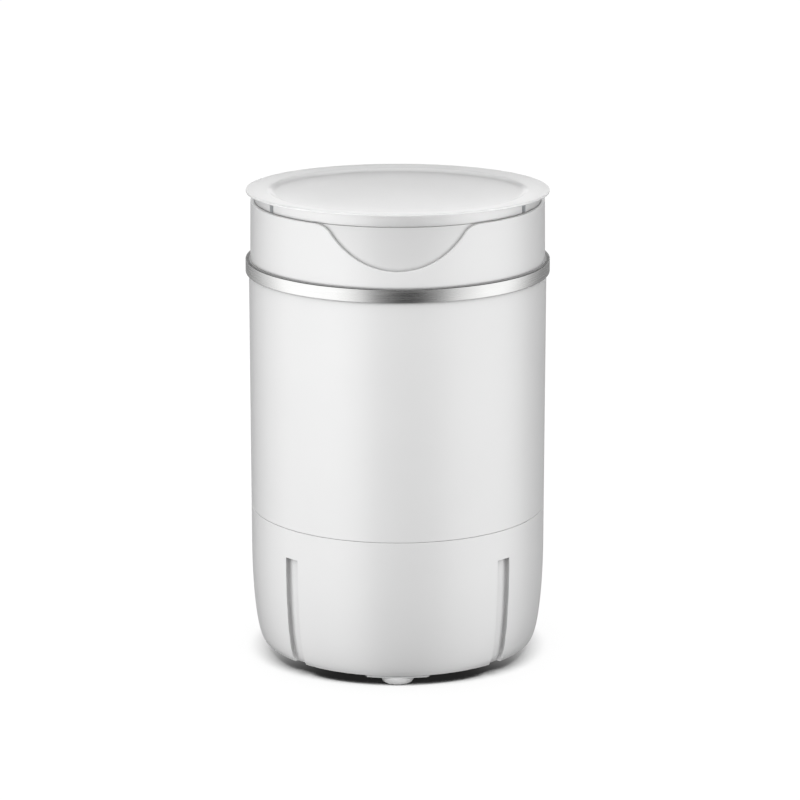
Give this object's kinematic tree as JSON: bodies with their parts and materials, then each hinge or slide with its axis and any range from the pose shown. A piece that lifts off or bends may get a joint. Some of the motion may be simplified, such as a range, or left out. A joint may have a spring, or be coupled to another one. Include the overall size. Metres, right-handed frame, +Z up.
{
  "type": "portable mini washer",
  "caption": "Upright round bucket washer: white drawn-in body, stainless trim band, front finger scoop, lift-off frosted lid, inner tub with belt-driven pulsator, rear timer and drain.",
  "frame": {"origin": "on the floor, at the machine's axis", "axes": "+Z up along the machine's axis, -Y towards the front with the finger scoop, +Y towards the rear bay"},
  "size_m": [0.2466, 0.2466, 0.386],
  "materials": {
    "white_gloss": "satin moulded ABS",
    "white_tub": "moulded polypropylene",
    "frosted_lid": "frosted translucent polypropylene",
    "brushed_band": "circumferentially brushed stainless steel",
    "white_rubber": "moulded",
    "black_rubber": "moulded",
    "zinc_screw": "zinc plated",
    "steel": "turned or pressed",
    "cast_aluminium": "die cast",
    "bronze": "sintered",
    "pulsator_plastic": "moulded polypropylene",
    "grey_plastic": "fine moulded grain",
    "dark_plastic": "moulded",
    "ferrite": "sintered",
    "armature_iron": "laminated and wound",
    "green_board": "solder mask",
    "capacitor_sleeve": "shrink sleeve",
    "lead_insulation": "insulated stranded wire"
  },
  "bodies": {
    "housing": {"top_collar": "white_gloss", "barrel_shell": "white_gloss", "base_shell": "white_gloss", "wash_tub": "white_tub", "base_plate": "white_tub", "trim_band": "brushed_band", "foot_front": "white_rubber", "foot_right": "white_rubber", "foot_rear": "white_rubber", "foot_left": "white_rubber", "tub_gasket": "black_rubber", "shaft_seal": "black_rubber", "drive_belt": "black_rubber", "cord_gland": "black_rubber", "drain_seal": "black_rubber", "base_screws": "zinc_screw", "plate_screws": "zinc_screw", "housing_bolts": "zinc_screw", "tub_screws": "zinc_screw", "motor_screws": "zinc_screw", "panel_screws": "zinc_screw", "timer_screws": "zinc_screw", "board_screws": "zinc_screw", "drive_plate": "steel", "motor_can": "steel", "bearing_housing": "cast_aluminium", "upper_bush": "bronze", "lower_bush": "bronze", "rear_panel": "grey_plastic", "drain_elbow": "grey_plastic", "drain_strainer": "grey_plastic", "motor_end_cap": "dark_plastic", "timer_body": "dark_plastic", "motor_magnets": "ferrite", "circuit_board": "green_board", "smoothing_capacitor": "capacitor_sleeve", "motor_leads": "lead_insulation", "timer_leads": "lead_insulation"},
    "lid": {"lid_cover": "frosted_lid"},
    "pulsator_unit": {"pulsator": "pulsator_plastic", "pulsator_screw": "zinc_screw", "pulsator_cap": "grey_plastic", "drive_shaft": "steel", "driven_pulley": "dark_plastic", "pulley_washer": "zinc_screw", "pulley_nut": "zinc_screw"},
    "motor_rotor": {"motor_shaft": "steel", "motor_armature": "armature_iron", "motor_pulley": "cast_aluminium"},
    "knob": {"timer_knob": "white_gloss", "timer_shaft": "steel"},
    "plug": {"drain_plug": "black_rubber"}
  },
  "joints": [
    {"name": "lid_lift", "type": "slide", "parent": "housing", "child": "lid", "axis": [0, 0, 1], "range_m": [0, 0.12]},
    {"name": "pulsator_spin", "type": "hinge", "parent": "housing", "child": "pulsator_unit", "pos_m": [0, 0, 0.1], "axis": [0, 0, 1], "continuous": true},
    {"name": "motor_spin", "type": "hinge", "parent": "housing", "child": "motor_rotor", "pos_m": [0, -0.068, 0.09], "axis": [0, 0, 1], "continuous": true},
    {"name": "timer_turn", "type": "hinge", "parent": "housing", "child": "knob", "pos_m": [0, 0.106, 0.081], "axis": [0, -1, 0], "range_deg": [0, 300]},
    {"name": "plug_pull", "type": "slide", "parent": "housing", "child": "plug", "axis": [0, 1, 0], "range_m": [0, 0.04]}
  ],
  "couplings": [
    {"joint": "motor_spin", "follows": "pulsator_spin", "ratio": 4.7778}
  ]
}
